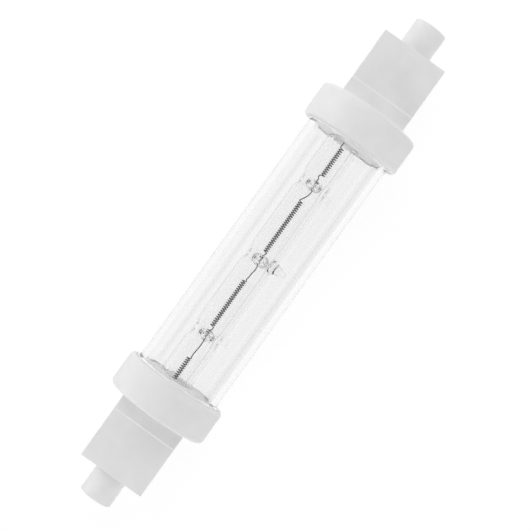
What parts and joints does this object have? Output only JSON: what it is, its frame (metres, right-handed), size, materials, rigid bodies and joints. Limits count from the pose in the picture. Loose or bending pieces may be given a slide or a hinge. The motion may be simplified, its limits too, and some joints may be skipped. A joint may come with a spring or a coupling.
{
  "type": "jacketed linear halogen bulb",
  "caption": "Double-ended linear halogen heat lamp: a quartz burner with a coiled filament inside a clear glass jacket, closed by white ceramic caps with round bosses.",
  "frame": {"origin": "middle of the lamp, on the axis of the jacket and the caps", "axes": "+X along the lamp, towards the right-hand cap; +Z square to the flats of the end blocks"},
  "size_m": [0.1176, 0.0226, 0.0224],
  "materials": {
    "steatite": "matte",
    "refractory_cement": "matte",
    "jacket_glass": "gloss",
    "quartz_glass": "gloss",
    "tungsten": "satin",
    "molybdenum": "satin",
    "contact_metal": "satin"
  },
  "bodies": {
    "root": {"outer_jacket": "jacket_glass", "inner_tube": "quartz_glass", "filament": "tungsten", "end_cap_left": "steatite", "cement_left": "refractory_cement", "contact_left": "contact_metal", "lead_pin_left": "molybdenum", "foil_left": "molybdenum", "end_cap_right": "steatite", "cement_right": "refractory_cement", "contact_right": "contact_metal", "lead_pin_right": "molybdenum", "foil_right": "molybdenum"}
  },
  "joints": []
}
